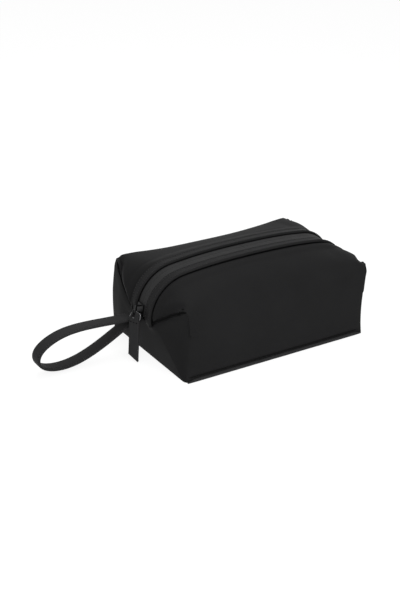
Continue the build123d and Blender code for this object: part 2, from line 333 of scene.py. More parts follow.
class Shell:
    """The bag's outer skin as one welded surface, slack where leather is slack and pinned at seams."""

    INNER_EDGE = 16 * MM  # the hidden edge, under the strips
    ROWS_OVER = 26
    ROWS_DOWN = 36
    COLUMNS_TOP = 78
    COLUMNS_GUSSET = 14
    SLACK_PASSES = 90
    AFTER_PASSES = 24
    CORNER_PASSES = 40
    CORD_STATIONS = 40
    FLOOR_TUCK = 7 * MM  # how far the foot of an end bows in
    # The quarter with the open dart, then how far each corner's fold is rounded and how far it is raised.
    BLUNT = (1, 1)
    REACH = {(1, 1): 6 * MM, (1, -1): 5 * MM, (-1, 1): 8 * MM, (-1, -1): 4 * MM}
    LIFT = {(1, 1): 0, (1, -1): 4.0 * MM, (-1, 1): 3.5 * MM, (-1, -1): 2.5 * MM}

    def __init__(self):
        self.index = {}
        self.place = []
        self.kind = []
        self.home = []
        self.faces = []
        self.tags = []
        self.seams = {}
        edge = STRIP_OUT / MM
        close = [self.INNER_EDGE / MM, edge - 2, edge - 1, edge - 0.4, edge, edge + 0.4, edge + 0.8]
        close += [edge + 1.2, edge + 1.7, edge + 2.4, edge + 3.4, edge + 4.8]
        wide = np.linspace(edge + 6.5, HALF_DEPTH / MM, self.ROWS_OVER)
        span = HALF_DEPTH / MM - self.INNER_EDGE / MM
        self.top_steps = (np.array(close + list(wide)) - self.INNER_EDGE / MM) / span
        self.fold = len(self.top_steps) - 1
        self.seam_start = close.index(edge)
        side = np.linspace(0, 1, self.ROWS_DOWN)
        low = [1 - z / (FOLD_TOP / MM) for z in (5.6, 5.0, 4.6, 4.2, 3.8, 3.2, 2.0)]
        self.side_steps = np.array(sorted({*side[1:-2], *low, 1.0}))
        seam = 1 - np.array([7, 5, 3.6, 2.6, 1.9, 1.3, 0.85, 0.45, 0]) * MM / (ARC_LENGTH * 0.55)
        even = np.linspace(0, 1, self.COLUMNS_TOP)[:-3]
        arc_start = -DOME_EDGE / ZIP_LENGTH
        seam = arc_start + (1 - arc_start) * seam
        self.shares = np.array([v for v in even if v < seam[0] - 0.004] + list(seam))
        for side, depth in QUARTERS:
            self.add_quarter(side, depth)
        self.place = np.array(self.place)
        self.home = np.array(self.home)
        self.is_top = np.array([kind == "top" for kind in self.kind])
        self.front = self.home[:, 3] > 0
        self.dart = self.front & (self.home[:, 2] > 0)
        self.relax()
        self.normals = self.find_normals()
        self.dress()
        self.blunt_corners()
        self.normals = self.find_normals()

    def corner(self):
        return np.array([-HALF_LENGTH, -HALF_DEPTH, FOLD_TOP])

    def foot(self):
        return np.array([-HALF_LENGTH, -HALF_DEPTH, 0.0])

    def tip(self):
        place, _ = zip_line(1.0)
        return np.array([place.x, -STRIP_OUT, place.z])

    def fold_reach(self, x, side, depth):
        """How far from the fold line the leather starts to turn: wide in the middle, less at a corner."""
        middle = 36 * MM if depth > 0 else 15 * MM
        share = 1 - abs(x) / HALF_LENGTH
        rise = math.sin(min(1.0, share * 1.6) * math.pi / 2) ** 1.5
        end = self.REACH[(side, depth)]
        if (side, depth) == self.BLUNT:
            rise = math.sin(min(1.0, share * 3.2) * math.pi / 2) ** 0.8
        return end + (middle - end) * rise

    def top_grid(self, side, depth):
        """Rows from the zip over the fold to the floor, columns from the middle to the left corner."""
        columns = []
        for share in self.shares:
            start = zip_line(share)[0]
            past = max(0.0, share * ZIP_LENGTH + DOME_EDGE) / ARC_LENGTH
            x = start.x if past == 0 else DOME_EDGE - past * (HALF_LENGTH + DOME_EDGE)
            a = np.array([start.x, -self.INNER_EDGE, start.z])
            b = np.array([x, -HALF_DEPTH, FOLD_TOP])
            c = np.array([x, -HALF_DEPTH, 0.0])
            straight = [a + (b - a) * t for t in self.top_steps]
            straight += [b + (c - b) * t for t in self.side_steps]
            reach = self.fold_reach(x, side, depth)
            reach = min(reach, 0.62 * np.linalg.norm(b - a))
            points = []
            for i, p in enumerate(straight):
                before = i <= self.fold
                gap = np.linalg.norm(p - b)
                if gap >= reach:
                    points.append(p)
                    continue
                t = 0.5 * (gap / reach if before else -gap / reach)
                t = 0.5 - t
                p0 = b + (a - b) / np.linalg.norm(b - a) * reach
                p2 = b + (c - b) / np.linalg.norm(c - b) * reach
                points.append((1 - t) ** 2 * p0 + 2 * t * (1 - t) * b + t * t * p2)
            columns.append(points)
        return np.array(columns).transpose(1, 0, 2)

    def end_grid(self, side, depth):
        """Rows from the seam down to the floor, columns from the corner round to the end's middle."""
        foot, tip = self.foot(), self.tip()
        line = self.top_grid(side, depth)[:, -1]
        down = line[self.fold :]
        tops = list(line[self.fold : self.seam_start - 1 : -1])
        width = np.linalg.norm(tops[0] - tops[-1])
        share = np.array([np.linalg.norm(p - tops[0]) / width for p in tops])
        feet = [(foot[0], foot[1] + self.FLOOR_TUCK * v**2, 0.0) for v in share]
        for k in range(1, self.COLUMNS_GUSSET + 1):
            v = k / self.COLUMNS_GUSSET
            tops.append((tip[0] + 1.0 * MM * v, tip[1] * (1 - v), tip[2] + 1 * MM * v))
            feet.append((foot[0], (foot[1] + self.FLOOR_TUCK) * (1 - v), 0.0))
        tops, feet = np.array(tops), np.array(feet)
        rows = []
        even = np.concatenate([[0.0], self.side_steps])
        inward = np.linspace(0, 1, len(tops))[:, None]
        for rim, level in zip(down, even):
            t = (down[0, 2] - rim[2]) / down[0, 2]
            t = t + (level - t) * inward
            row = tops * (1 - t) + feet * t
            lean = smooth(1 - np.arange(len(tops)) / 5.0)[:, None]
            rows.append(row + (rim - row[0]) * lean)
        return np.array(rows)

    def round_edge(self, top, end, side, depth):
        """Rounds the upright edge between the front or rear and the end, less towards its two corners."""
        ear = self.fold - self.seam_start
        for r in range(1, len(end)):
            edge = top[self.fold + r, -1].copy()
            out = end[r, ear] - edge
            width = np.linalg.norm(out)
            share = np.clip(1 - edge[2] / FOLD_TOP, 0, 1)
            if (side, depth) == self.BLUNT:
                reach = min(0.9 * width, 44 * MM) * ease(share * 3)
            else:
                reach = min(0.8 * width, 7 * MM) * math.sin(math.pi * share)
            if reach < 0.5 * MM:
                continue
            out /= width
            ahead = np.array([1.0, 0, 0])
            start, stop = edge + out * reach, edge + ahead * reach
            for row, sign in ((end[r], -1), (top[self.fold + r], 1)):
                for c in range(len(row)):
                    along = ahead if sign > 0 else out
                    gap = (row[c] - edge) @ along
                    if gap < reach and np.linalg.norm(row[c] - edge) < 1.5 * reach:
                        t = 0.5 + sign * 0.5 * gap / reach
                        row[c] = (1 - t) ** 2 * start + 2 * t * (1 - t) * edge + t * t * stop
        lift = self.LIFT[(side, depth)]
        for grid in (top, end):
            flat = grid.reshape(-1, 3)
            near = np.linalg.norm(flat - self.corner(), axis=1)
            flat[:, 2] += lift * smooth(1 - near / (64 * MM))

    def vertex(self, point, kind, layer, home):
        key = (*(round(abs(c) * 1e6) * (1 if c >= 0 else -1) for c in point), layer)
        if key not in self.index:
            self.index[key] = len(self.place)
            self.place.append(point)
            self.kind.append(kind)
            self.home.append(home)
        return self.index[key]

    def add_grid(self, grid, side, depth, part):
        rows, columns = grid.shape[:2]
        ids = np.zeros((rows, columns), int)
        for r in range(rows):
            for c in range(columns):
                lower = part == "end" and r == 0 and c > 0
                point = grid[r, c] * (side, depth, 1)
                where = (r / (rows - 1), c / (columns - 1), side, depth)
                ids[r, c] = self.vertex(point, part, 1 if lower else 0, where)
        for r in range(rows - 1):
            for c in range(columns - 1):
                face = [ids[r, c], ids[r, c + 1], ids[r + 1, c + 1], ids[r + 1, c]]
                if side * depth < 0:
                    face.reverse()
                face = [v for i, v in enumerate(face) if v != face[i - 1]]
                if len(face) > 2:
                    self.faces.append(face)
                    self.tags.append((part, side, depth, r, c))

    def add_quarter(self, side, depth):
        top, end = self.top_grid(side, depth), self.end_grid(side, depth)
        self.round_edge(top, end, side, depth)
        self.seams[(side, depth)] = top[self.seam_start : self.fold + 1, -1].copy()
        self.add_grid(top, side, depth, "top")
        self.add_grid(end, side, depth, "end")

    def seam_distance(self, points):
        """Distance of every vertex from its own quarter's seam."""
        found = np.full(len(points), 1.0)
        for (side, depth), line in self.seams.items():
            mine = (self.home[:, 2] == side) & (self.home[:, 3] == depth)
            near = found[mine]
            for a, b in zip(line, line[1:]):
                along = b - a
                t = np.clip((points[mine] - a) @ along / (along @ along), 0, 1)
                gap = np.linalg.norm(points[mine] - (a + t[:, None] * along), axis=1)
                near = np.minimum(near, gap)
            found[mine] = near
        return found

    def seam_end(self):
        """Each vertex's own quarter's seam end, by the corner."""
        ends = np.zeros((len(self.place), 3))
        for (side, depth), line in self.seams.items():
            ends[(self.home[:, 2] == side) & (self.home[:, 3] == depth)] = line[-1]
        return ends

    def relax(self):
        """Lets the leather sag between its seams, its strips, its corners and its foot."""
        points = left_front(self.place)
        is_top, blunt = self.is_top, self.dart
        across = np.abs(points[:, 1])
        distance = self.seam_distance(points)
        to_corner = np.linalg.norm(points - self.corner(), axis=1)
        to_foot = np.linalg.norm(points - self.foot(), axis=1)
        slack = np.ones(len(points))
        above = is_top & (points[:, 2] > TIP_Z - MM) & (across < HALF_DEPTH - 22 * MM)
        slack[above] *= smooth((across[above] - STRIP_OUT - 3 * MM) / (14 * MM))
        pinned = smooth((distance - 0.5 * MM) / (8 * MM))
        freed = np.maximum(pinned, smooth(1.2 - to_corner / (15 * MM)))
        slack *= np.where(blunt, freed, pinned)
        slack *= np.where(blunt, 1.0, smooth((to_corner - 14 * MM) / (76 * MM)))
        upright = np.hypot(points[:, 0] + HALF_LENGTH, points[:, 1] + HALF_DEPTH)
        slack *= np.where(blunt, 1.0, smooth((upright - 2 * MM) / (16 * MM)))
        slack *= smooth(to_foot / (22 * MM))
        slack *= smooth((points[:, 2] - 3 * MM) / (9 * MM))
        top_row = (~is_top) & (across <= STRIP_OUT + MM) & (points[:, 2] > TIP_Z - 1.5 * MM)
        slack[top_row] = 0
        pairs = set()
        for face in self.faces:
            for i, v in enumerate(face):
                pairs.add((min(v, face[i - 1]), max(v, face[i - 1])))
        pairs = np.array(sorted(pairs))
        ends = np.concatenate([pairs[:, 0], pairs[:, 1]])
        others = np.concatenate([pairs[:, 1], pairs[:, 0]])
        gap = np.linalg.norm(self.place[ends] - self.place[others], axis=1)
        weight = 1 / np.maximum(gap, 0.3 * MM)
        twins = {}
        for i, place in enumerate(self.place):
            twins.setdefault(tuple(np.round(place, 7)), []).append(i)
        self.twins = np.array([pair for pair in twins.values() if len(pair) == 2])
        self.edges = (ends, others, weight)
        self.settle(slack, self.SLACK_PASSES)
        self.seam_ids = {}
        for key in self.seams:
            grid = {}
            for i, kind in enumerate(self.kind):
                row, column, side, depth = self.home[i]
                if kind == "top" and (side, depth) == key and column == 1.0:
                    grid[round(row * 1e5)] = i
            ids = [grid[r] for r in sorted(grid)][self.seam_start : self.fold + 1]
            self.seam_ids[key] = ids
            self.straighten(ids, key == self.BLUNT)
            self.seams[key] = left_front(self.place[ids])
        beside = smooth(self.seam_distance(left_front(self.place)) / (3 * MM))
        self.settle(slack * beside, self.AFTER_PASSES)

    def straighten(self, ids, free):
        """Lays a seam on a smooth curve that keeps its first end and, unless it is free, its last."""
        line = self.place[ids].copy()
        run = run_along(line)
        hold = np.ones(len(ids))
        hold[0] = 40
        hold[-1] = 1 if free else 40
        for k in range(3):
            self.place[ids, k] = np.polyval(np.polyfit(run, line[:, k], 2 if free else 4, w=hold), run)
        moved = set(ids)
        for a, b in self.twins:
            if a in moved:
                self.place[b] = self.place[a]
            elif b in moved:
                self.place[a] = self.place[b]

    def settle(self, slack, passes):
        """Moves each vertex towards its neighbours' average by its slack, welded twins together."""
        ends, others, weight = self.edges
        many = len(self.place)
        count = np.bincount(ends, weights=weight, minlength=many)
        step = 0.7 * slack[:, None]
        for _ in range(passes):
            pulls = weight[:, None] * self.place[others]
            sums = [np.bincount(ends, weights=pulls[:, k], minlength=many) for k in range(3)]
            self.place += step * (np.column_stack(sums) / count[:, None] - self.place)
            middle = (self.place[self.twins[:, 0]] + self.place[self.twins[:, 1]]) / 2
            self.place[self.twins[:, 0]] = middle
            self.place[self.twins[:, 1]] = middle

    def blunt_corners(self):
        """Rounds off the very tips of the four upper corners."""
        near = np.linalg.norm(left_front(self.place) - self.seam_end(), axis=1)
        radius = np.where(self.dart, 4 * MM, 5 * MM)
        self.settle(smooth(1.5 - near / radius), self.CORNER_PASSES)

    def seam_rings(self, side, depth):
        """Rings of a black tube laid in a quarter's seam as painted shadow of the slit, for tube()."""
        ids = self.seam_ids[(side, depth)]
        out = self.normals[ids].mean(axis=0)
        out /= np.linalg.norm(out)
        open_dart = (side, depth) == self.BLUNT
        proud = 0.5 * MM if open_dart else -0.15 * MM
        line, length = resample(self.place[ids] + out * (self.slit[ids][:, None] + proud), self.CORD_STATIONS)
        radius = (1.0 if open_dart else 0.6) * MM
        left = length * np.linspace(1, 0, self.CORD_STATIONS)
        if open_dart:
            sizes = radius * np.sqrt(np.clip(left / radius, 0.03, 1))
        else:
            sizes = radius * smooth((left - 3 * MM) / (10 * MM) + 0.1)
        rings = []
        for place, ahead, size in zip(line, np.gradient(line, axis=0), sizes):
            across = np.cross(ahead / np.linalg.norm(ahead), out)
            if open_dart:
                place = place + out * 0.6 * MM * math.sin(math.pi * len(rings) / len(line))
            rings.append([place + size * (out * v + across * u) for u, v in circle(12)])
        return np.array(rings)

    def find_normals(self):
        normals = np.zeros_like(self.place)
        for face in self.faces:
            p = self.place[face]
            normals[face] += np.cross(p[2] - p[0], p[-1] - p[1])
        length = np.linalg.norm(normals, axis=1)
        return normals / np.maximum(length, 1e-12)[:, None]

    def dress(self):
        """Padding, the rolled edges beside the seams, and the slight waviness of soft leather."""
        points = left_front(self.place)
        across = np.abs(points[:, 1])
        is_top, front, blunt = self.is_top, self.front, self.dart
        distance = self.seam_distance(points)
        to_corner = np.linalg.norm(points - self.corner(), axis=1)
        move = np.zeros(len(points))
        near_zip = is_top & (across < 34 * MM) & (points[:, 2] > TIP_Z - 2 * MM)
        gap = np.where(across < STRIP_OUT + 0.5 * MM, 0.0, across - STRIP_OUT - 0.5 * MM)
        groove = np.where(front, 2.6, 0.5) * MM * bell(gap, 0.62 * MM)
        beside = smooth(1 - np.abs(across - STRIP_OUT - 6 * MM) / (8 * MM))
        swell = np.where(front, 1.2, 0.5) * MM * beside
        move += np.where(near_zip, swell - groove, 0)
        corner_end = np.linalg.norm(points - self.seam_end(), axis=1)
        broad = np.where(blunt, 1.2, 0.8) * MM
        slit = np.where(blunt, 1.4, 1.0) * MM * bell(distance, broad)
        shallow = smooth(corner_end / (5 * MM))
        slit *= np.where(blunt, shallow, smooth((to_corner - 2 * MM) / (16 * MM)))
        move -= slit
        self.slit = slit
        lip = smooth(1 - np.abs(distance - 7 * MM) / (7 * MM))
        lip *= smooth((to_corner - 4 * MM) / (30 * MM))
        move += np.where(is_top, np.where(blunt, 0.9, 2.2), 0.3) * MM * lip
        past = np.clip((np.abs(points[:, 0]) + DOME_EDGE) / (SKIN_RADIUS - 3 * MM), 0, 1)
        over = np.clip((across - STRIP_OUT) / (HALF_DEPTH - STRIP_OUT), 0, 1)
        crown = 4 * over * (1 - over) * smooth(past * 1.4) * smooth(distance / (14 * MM))
        high = np.where(self.home[:, 2] > 0, 5.0 * MM, 8.0 * MM)
        move += np.where(is_top & (points[:, 2] > 50 * MM), high, 0) * crown
        curl = bell(points[:, 2] - 4.6 * MM, 0.8 * MM)
        side_face = is_top & (across > HALF_DEPTH - 12 * MM) & (points[:, 2] < 20 * MM)
        inset = smooth((HALF_LENGTH - np.abs(points[:, 0]) - 2 * MM) / (8 * MM))
        foot_roll = smooth(1 - np.abs(points[:, 2] - 9 * MM) / (6 * MM))
        move += np.where(side_face, 0.9 * MM * foot_roll - 2.4 * MM * curl, 0) * inset
        away = smooth(distance / (12 * MM)) * smooth(points[:, 2] / (12 * MM))
        wave = np.array([noise.noise(Vector(p) * 18) for p in self.place])
        zone = away * np.where(is_top & (across < 34 * MM) & (points[:, 2] > 40 * MM), 0.2, 1.0)
        move += zone * 0.9 * MM * wave
        rear_left = (self.home[:, 2] > 0) & ~front
        flare = 5.0 * MM * smooth((np.abs(points[:, 0]) - 100 * MM) / (18 * MM))
        flare *= smooth((across - 20 * MM) / (34 * MM))
        flare *= np.sin(math.pi * np.clip(points[:, 2] / (80 * MM), 0, 1))
        self.place += move[:, None] * self.normals
        self.place[:, 0] -= np.where(rear_left, flare, 0)

    def piece(self, name, chosen, materials, thickness, sunk=None):
        """A closed piece of the skin: outer face, inner face and rim, lit as one with its neighbours."""
        faces = [self.faces[i] for i in chosen]
        used = sorted({v for f in faces for v in f})
        local = {v: i for i, v in enumerate(used)}
        outer = self.place[used].copy()
        up = self.normals[used]
        if sunk is not None:
            outer -= up * sunk(self.place[used])[:, None]
        inner = outer - up * thickness
        count = len(used)
        verts = np.vstack([outer, inner])
        made, normals, kinds = [], [], []
        edges = {}
        for face in faces:
            ids = [local[v] for v in face]
            made.append(ids)
            normals += [up[i] for i in ids]
            kinds.append(0)
            made.append([i + count for i in reversed(ids)])
            normals += [-up[i] for i in reversed(ids)]
            kinds.append(1)
            for i, v in enumerate(ids):
                edges[(ids[i - 1], v)] = True
        for a, b in edges:
            if (b, a) not in edges:
                quad = [b, a, a + count, b + count]
                flat = np.cross(verts[a] - verts[b], verts[a + count] - verts[b])
                flat = flat / max(np.linalg.norm(flat), 1e-12)
                made.append(quad)
                normals += [flat] * 4
                kinds.append(0)
        return new_object(name, verts, made, materials, kinds, normals)


# ------------------------------------------------------------------ materials


def leather(name, colour, roughness, pores, depth):
    """Smooth coated leather: a fine pore bump, cloudy tone and slightly uneven gloss."""
    net = Net(name)
    place = net.node("ShaderNodeTexCoord").out("Object")
    pore = net.node("ShaderNodeTexVoronoi", {"feature": "F1"}, {"Vector": place, "Scale": pores}).out(0)
    grain = net.node("ShaderNodeTexNoise", {}, {"Vector": place, "Scale": pores * 0.6, "Detail": 4.0})
    cloud = net.node("ShaderNodeTexNoise", {}, {"Vector": place, "Scale": 26.0, "Detail": 3.0}).out(0)
    streak = net.node("ShaderNodeTexNoise", {}, {"Vector": place, "Scale": 130.0, "Detail": 5.0}).out(0)
    height = pore * 0.6 + grain.out(0) * 0.8
    bump = net.node("ShaderNodeBump", {}, {"Strength": depth, "Distance": 0.0002, "Height": height})
    light = tuple(min(1, c * 1.35) for c in colour)
    dark = tuple(c * 0.72 for c in colour)
    tone = net.mix(cloud * 0.7 + streak * 0.3, dark, light)
    rough = roughness - 0.08 + cloud * 0.1 + streak * 0.06
    shader = net.node(
        "ShaderNodeBsdfPrincipled",
        {},
        {
            "Base Color": tone,
            "Roughness": rough,
            "Specular IOR Level": 0.06,
            "Normal": bump.out(0),
        },
    )
    return net.finish(shader.out(0))


def woven(name, colour, threads, depth):
    """Plain woven cloth from two crossed waves of thread."""
    net = Net(name)
    place = net.node("ShaderNodeTexCoord").out("Object")
    turned = net.node("ShaderNodeMapping", {}, {"Vector": place, "Rotation": (0.6, 0.5, 0.785)}).out(0)
    bands = {"wave_type": "BANDS", "bands_direction": "X"}
    warp = net.node("ShaderNodeTexWave", bands, {"Vector": turned, "Scale": threads}).out(1)
    bands = {"wave_type": "BANDS", "bands_direction": "Y"}
    weft = net.node("ShaderNodeTexWave", bands, {"Vector": turned, "Scale": threads}).out(1)
    cloud = net.node("ShaderNodeTexNoise", {}, {"Vector": place, "Scale": 60.0, "Detail": 3.0}).out(0)
    weave = warp * weft
    bump = net.node("ShaderNodeBump", {}, {"Strength": depth, "Distance": 0.0002, "Height": weave})
    light = tuple(min(1, c * 1.6) for c in colour)
    tone = net.mix(weave * 0.6 + cloud * 0.4, colour, light)
    shader = net.node(
        "ShaderNodeBsdfPrincipled",
        {},
        {
            "Base Color": tone,
            "Roughness": 0.8 - cloud * 0.1,
            "Specular IOR Level": 0.25,
            "Normal": bump.out(0),
        },
    )
    return net.finish(shader.out(0))


def plated(name, colour, roughness):
    """Dark plated metal with a faint brushed bump."""
    net = Net(name)
    place = net.node("ShaderNodeTexCoord").out("Object")
    brushed = net.node("ShaderNodeMapping", {}, {"Vector": place, "Scale": (1, 14, 1)}).out(0)
    lines = net.node("ShaderNodeTexNoise", {}, {"Vector": brushed, "Scale": 300.0, "Detail": 4.0}).out(0)
    spots = net.node("ShaderNodeTexNoise", {}, {"Vector": place, "Scale": 220.0, "Detail": 2.0}).out(0)
    bump = net.node("ShaderNodeBump", {}, {"Strength": 0.15, "Distance": 0.0001, "Height": lines})
    tone = net.mix(spots, tuple(c * 0.8 for c in colour), tuple(min(1, c * 1.2) for c in colour))
    shader = net.node(
        "ShaderNodeBsdfPrincipled",
        {},
        {
            "Base Color": tone,
            "Metallic": 1.0,
            "Roughness": roughness + lines * 0.12,
            "Normal": bump.out(0),
        },
    )
    return net.finish(shader.out(0))


def thread_material(colour):
    """Waxed sewing thread with a twist."""
    net = Net("thread")
    place = net.node("ShaderNodeTexCoord").out("Object")
    twist = net.node("ShaderNodeTexWave", {}, {"Vector": place, "Scale": 900.0, "Distortion": 2.0}).out(1)
    bump = net.node("ShaderNodeBump", {}, {"Strength": 0.3, "Distance": 0.0001, "Height": twist})
    tone = net.mix(twist, colour, tuple(min(1, c * 1.8) for c in colour))
    sockets = {"Base Color": tone, "Roughness": 0.55 + twist * 0.1, "Normal": bump.out(0)}
    shader = net.node("ShaderNodeBsdfPrincipled", {}, sockets)
    return net.finish(shader.out(0))


MATERIALS = {}


def make_materials(looks):
    """Fills MATERIALS from the colours and the finish that are set."""
    body, metal = tuple(looks.leather_colour), tuple(looks.metal_colour)
    rough = looks.leather_roughness

    def shade(colour, share):
        return tuple(c * share for c in colour)

    MATERIALS["leather"] = leather("bag_leather", body, rough, 2600.0, 0.22)
    MATERIALS["trim"] = leather("trim_leather", shade(body, 1.2), rough - 0.05, 2800.0, 0.2)
    MATERIALS["strap"] = leather("strap_leather", shade(body, 2.2), rough - 0.06, 2300.0, 0.25)
    # Near-black leather: in the seams and along the rear strips' front edges it is painted shadow; on the pull tab
    # it is the real black edge paint and thread.
    MATERIALS["gap"] = leather("painted_shadow_and_edge_black", (0.0012, 0.0012, 0.0012), 0.9, 900.0, 0.05)
    # Welt leather is the body colour lightened: a painted highlight on the rolled welts.
    MATERIALS["welt"] = leather("welt_painted_highlight_leather", shade(body, 2.3), rough, 2800.0, 0.2)
    MATERIALS["tape"] = woven("zip_tape", tuple(looks.tape_colour), 620.0, 0.35)
    MATERIALS["lining"] = woven("lining_cloth", tuple(looks.lining_colour), 480.0, 0.5)
    MATERIALS["coil"] = leather("zip_coil", shade(body, 0.8), 0.4, 1500.0, 0.05)
    MATERIALS["metal"] = plated("gunmetal", metal, 0.28)
    MATERIALS["slider"] = plated("black_plate", shade(metal, 0.12), 0.4)
    MATERIALS["board"] = woven("board", (0.1, 0.1, 0.1), 300.0, 0.2)
    MATERIALS["thread"] = thread_material(tuple(looks.thread_colour))


# ------------------------------------------------------------------ stitches and coil by geometry nodes


def socket_id(tree, name):
    return next(i.identifier for i in tree.interface.items_tree if i.name == name)


def repeat_tree(name, material):
    """Nodes that set small rounded beads, such as stitches or zip elements, along lines."""
    tree = bpy.data.node_groups.new(name, "GeometryNodeTree")
    face = tree.interface
    face.new_socket("Geometry", in_out="INPUT", socket_type="NodeSocketGeometry")
    for label in ("Pitch", "Length", "Width", "Thickness"):
        face.new_socket(label, in_out="INPUT", socket_type="NodeSocketFloat")
    face.new_socket("Geometry", in_out="OUTPUT", socket_type="NodeSocketGeometry")
    nodes, links = tree.nodes, tree.links
    start = nodes.new("NodeGroupInput")
    curve = nodes.new("GeometryNodeMeshToCurve")
    spaced = nodes.new("GeometryNodeResampleCurve")
    spaced.mode = "LENGTH"
    bead = nodes.new("GeometryNodeMeshUVSphere")
    bead.inputs["Segments"].default_value = 8
    bead.inputs["Rings"].default_value = 5
    bead.inputs["Radius"].default_value = 0.5
    size = nodes.new("ShaderNodeCombineXYZ")
    tangent = nodes.new("GeometryNodeInputTangent")
    along = nodes.new("FunctionNodeAlignRotationToVector")
    along.axis = "Z"
    upright = nodes.new("FunctionNodeAlignRotationToVector")
    upright.axis = "Y"
    upright.pivot_axis = "Z"
    upright.inputs["Vector"].default_value = (0, 1, 0)
    place = nodes.new("GeometryNodeInstanceOnPoints")
    real = nodes.new("GeometryNodeRealizeInstances")
    gloss = nodes.new("GeometryNodeSetShadeSmooth")
    paint = nodes.new("GeometryNodeSetMaterial")
    paint.inputs["Material"].default_value = material
    end = nodes.new("NodeGroupOutput")
    links.new(start.outputs["Geometry"], curve.inputs["Mesh"])
    links.new(curve.outputs[0], spaced.inputs["Curve"])
    links.new(start.outputs["Pitch"], spaced.inputs["Length"])
    links.new(spaced.outputs[0], place.inputs["Points"])
    links.new(bead.outputs["Mesh"], place.inputs["Instance"])
    links.new(start.outputs["Width"], size.inputs["Y"])
    links.new(start.outputs["Thickness"], size.inputs["X"])
    links.new(start.outputs["Length"], size.inputs["Z"])
    links.new(size.outputs[0], place.inputs["Scale"])
    links.new(tangent.outputs[0], along.inputs["Vector"])
    links.new(along.outputs[0], upright.inputs["Rotation"])
    links.new(upright.outputs[0], place.inputs["Rotation"])
    links.new(place.outputs[0], real.inputs[0])
    links.new(real.outputs[0], gloss.inputs[0])
    links.new(gloss.outputs[0], paint.inputs["Geometry"])
    links.new(paint.outputs[0], end.inputs[0])
    return tree


def beads(name, lines, tree, pitch, length, width, thickness, material):
    """A plain mesh of beads along lines, each an array of points."""
    verts, edges = [], []
    for line in lines:
        first = len(verts)
        verts += [tuple(p) for p in line]
        edges += [(first + i, first + i + 1) for i in range(len(line) - 1)]
    mesh = bpy.data.meshes.new(name + "_line")
    mesh.from_pydata(verts, edges, [])
    holder = bpy.data.objects.new(name + "_line", mesh)
    bpy.context.scene.collection.objects.link(holder)
    modifier = holder.modifiers.new("beads", "NODES")
    modifier.node_group = tree
    sizes = {"Pitch": pitch, "Length": length, "Width": width, "Thickness": thickness}
    for label, value in sizes.items():
        modifier[socket_id(tree, label)] = float(value)
    bpy.context.view_layer.update()
    graph = bpy.context.evaluated_depsgraph_get()
    made = bpy.data.meshes.new_from_object(holder.evaluated_get(graph))
    made.name = name
    if not made.materials:
        made.materials.append(material)
    bpy.data.objects.remove(holder)
    obj = bpy.data.objects.new(name, made)
    bpy.context.scene.collection.objects.link(obj)
    return obj


# ------------------------------------------------------------------ settings


class KITBAG_PG_looks(bpy.types.PropertyGroup):
    """Colours and finish."""

    leather_colour: bpy.props.FloatVectorProperty(
        name="Leather", description="Colour of the bag's leather", subtype="COLOR", default=(0.0105, 0.0105, 0.0108)
    )
    leather_roughness: bpy.props.FloatProperty(
        name="Leather roughness", description="Matt to glossy finish", default=0.66, min=0.1, max=1.0
    )
    tape_colour: bpy.props.FloatVectorProperty(
        name="Zip tape", description="Colour of the zip's tape", subtype="COLOR", default=(0.0125, 0.0125, 0.0128)
    )
    lining_colour: bpy.props.FloatVectorProperty(
        name="Lining", description="Colour of the lining", subtype="COLOR", default=(0.02, 0.02, 0.022)
    )
    metal_colour: bpy.props.FloatVectorProperty(
        name="Metal", description="Colour of the slider and ring", subtype="COLOR", default=(0.16, 0.16, 0.165)
    )
    thread_colour: bpy.props.FloatVectorProperty(
        name="Thread", description="Colour of the stitching", subtype="COLOR", default=(0.004, 0.004, 0.004)
    )


class KITBAG_PG_sizes(bpy.types.PropertyGroup):
    """Sizes that change looks only."""

    wall: bpy.props.FloatProperty(
        name="Wall", description="Thickness of the padded leather", subtype="DISTANCE", default=2.4 * MM
    )
    stitch_pitch: bpy.props.FloatProperty(
        name="Stitch pitch", description="Distance between stitches", subtype="DISTANCE", default=3.0 * MM
    )
    stitch_length: bpy.props.FloatProperty(
        name="Stitch length", description="Length of one stitch", subtype="DISTANCE", default=2.1 * MM
    )
    thread_width: bpy.props.FloatProperty(
        name="Thread", description="Diameter of the sewing thread", subtype="DISTANCE", default=0.55 * MM
    )
    coil_pitch: bpy.props.FloatProperty(
        name="Coil pitch", description="Distance between the zip's elements", subtype="DISTANCE", default=1.4 * MM
    )


def settings():
    return bpy.context.scene.kitbag_looks, bpy.context.scene.kitbag_sizes


# ------------------------------------------------------------------ pieces


def face_x(shell, index):
    face = shell.faces[index]
    return abs(shell.place[face].mean(axis=0)[0])


